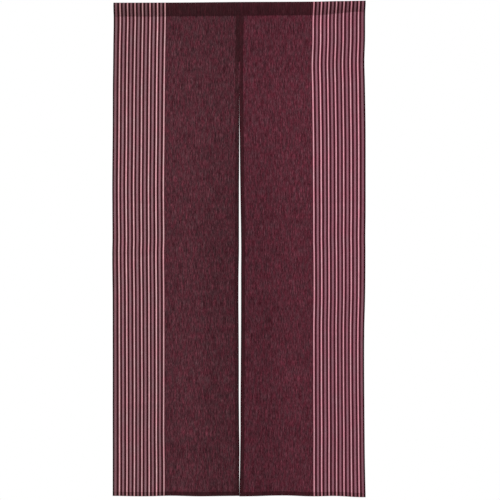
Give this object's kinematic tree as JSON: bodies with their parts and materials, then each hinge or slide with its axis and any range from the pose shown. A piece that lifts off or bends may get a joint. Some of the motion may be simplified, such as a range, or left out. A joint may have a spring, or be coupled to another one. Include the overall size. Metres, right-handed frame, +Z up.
{
  "type": "noren curtain",
  "caption": "Long noren doorway curtain: two striped cloth panels seamed together at the top and split below, hanging in soft folds from a rod pocket.",
  "frame": {"origin": "middle of the top fold, where the rod in the pocket carries the curtain", "axes": "+Z up, +X to the viewer's right across the width, -Y out of the front face"},
  "size_m": [0.8646, 0.0314, 1.6929],
  "materials": {
    "cloth_left": "matte woven cloth, deep wine with pale upright stripes along the outer edge",
    "cloth_right": "matte woven cloth, deep wine, a little redder, with pale upright stripes along the outer edge"
  },
  "bodies": {
    "root": {"heading_left": "cloth_left", "heading_right": "cloth_right", "panel_left": "cloth_left", "panel_right": "cloth_right"}
  },
  "joints": []
}
